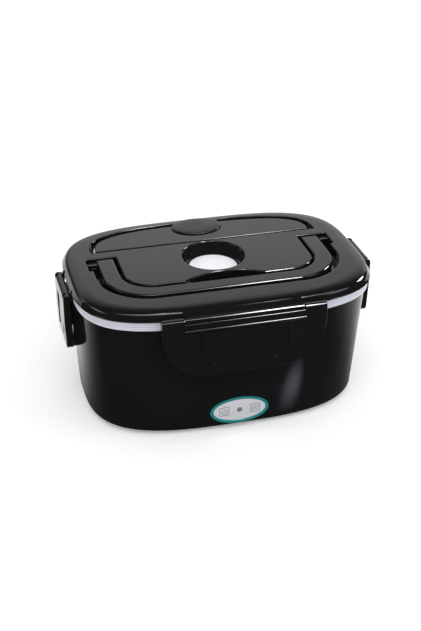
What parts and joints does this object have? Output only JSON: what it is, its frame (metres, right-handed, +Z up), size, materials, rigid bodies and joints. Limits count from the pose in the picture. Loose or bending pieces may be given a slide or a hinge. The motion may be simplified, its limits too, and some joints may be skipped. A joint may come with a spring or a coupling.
{
  "type": "electric lunch box",
  "caption": "Oval-cornered electric lunch box with a lift-off lid held by clip latches, a fold-flat handle, a cutlery cover, a vent plug and a lift-out steel tray over a heating plate.",
  "frame": {"origin": "on the table, under the middle of the box", "axes": "+X to the right along the long side, the front with the lamp panel faces -Y, +Z up"},
  "size_m": [0.2326, 0.1668, 0.1072],
  "materials": {
    "black_plastic": "glossy moulded black",
    "black_plastic_matt": "fine moulded black",
    "white_plastic": "satin white",
    "vent_silicone": "soft white, slightly grainy",
    "seal_silicone": "soft grey",
    "foot_rubber": "matt black",
    "stainless": "brushed",
    "zinc_steel": "plain zinc plate",
    "cast_aluminium": "cast, machined top",
    "ceramic": "unglazed",
    "phenolic": "moulded brown",
    "insulation": "pressed fibre",
    "brass": "turned",
    "panel_rim": "teal",
    "panel_face": "pale grey print base",
    "lamp_lens": "smoky lens",
    "board": "green laminate",
    "wire_brown": "extruded",
    "wire_blue": "extruded",
    "wire_white": "extruded"
  },
  "bodies": {
    "case": {"outer_shell": "black_plastic", "inner_casing": "white_plastic", "heating_plate": "cast_aluminium", "plate_seal": "seal_silicone", "retainer_bars": "zinc_steel", "plate_screws": "zinc_steel", "ptc_heater": "ceramic", "heater_clamp": "zinc_steel", "thermostat": "phenolic", "thermal_fuse": "ceramic", "fuse_clip": "zinc_steel", "insulation_pad": "insulation", "inlet_socket": "black_plastic_matt", "inlet_pins": "brass", "lamp_rim": "panel_rim", "lamp_face": "panel_face", "indicator_lamp": "lamp_lens", "lamp_board": "board", "live_wire": "wire_brown", "link_wires": "wire_white", "neutral_wire": "wire_blue", "lamp_wires": "wire_white", "base_screws": "zinc_steel", "rubber_feet": "foot_rubber"},
    "tray": {"food_tray": "stainless"},
    "dish": {"side_dish": "white_plastic"},
    "lid": {"lid_shell": "black_plastic", "lid_liner": "white_plastic", "lid_seal": "seal_silicone", "latch_pins": "zinc_steel"},
    "carry_handle": {"handle": "black_plastic"},
    "cutlery_lid": {"cutlery_cover": "black_plastic"},
    "plug": {"vent_plug": "vent_silicone"},
    "latch_front": {"front_latch": "black_plastic"},
    "latch_back": {"back_latch": "black_plastic"},
    "latch_left": {"left_latch": "black_plastic"},
    "latch_right": {"right_latch": "black_plastic"}
  },
  "joints": [
    {"name": "lid_lift", "type": "slide", "parent": "case", "child": "lid", "axis": [0, 0, 1], "range_m": [0, 0.165]},
    {"name": "tray_lift", "type": "slide", "parent": "case", "child": "tray", "axis": [0, 0, 1], "range_m": [0, 0.0743]},
    {"name": "dish_lift", "type": "slide", "parent": "tray", "child": "dish", "axis": [0, 0, 1], "range_m": [0, 0.0595]},
    {"name": "front_latch_open", "type": "hinge", "parent": "lid", "child": "latch_front", "pos_m": [0, -0.0782, 0.1001], "axis": [-1, 0, 0], "range_deg": [0, 100]},
    {"name": "back_latch_open", "type": "hinge", "parent": "lid", "child": "latch_back", "pos_m": [0, 0.0795, 0.096], "axis": [1, 0, 0], "range_deg": [0, 100]},
    {"name": "left_latch_open", "type": "hinge", "parent": "lid", "child": "latch_left", "pos_m": [-0.113, 0.0014, 0.096], "axis": [0, 1, 0], "range_deg": [0, 100]},
    {"name": "right_latch_open", "type": "hinge", "parent": "lid", "child": "latch_right", "pos_m": [0.113, 0.0014, 0.096], "axis": [0, -1, 0], "range_deg": [0, 100]},
    {"name": "handle_swing", "type": "hinge", "parent": "lid", "child": "carry_handle", "pos_m": [0, 0.015, 0.1028], "axis": [-1, 0, 0], "range_deg": [0, 90]},
    {"name": "cutlery_cover_open", "type": "hinge", "parent": "lid", "child": "cutlery_lid", "pos_m": [0, 0.0331, 0.1031], "axis": [1, 0, 0], "range_deg": [0, 95]},
    {"name": "vent_plug_pull", "type": "slide", "parent": "lid", "child": "plug", "axis": [0, 0, 1], "range_m": [0, 0.018]}
  ],
  "couplings": [
    {"joint": "tray_lift", "follows": "lid_lift", "ratio": 0.45},
    {"joint": "dish_lift", "follows": "lid_lift", "ratio": 0.36}
  ]
}
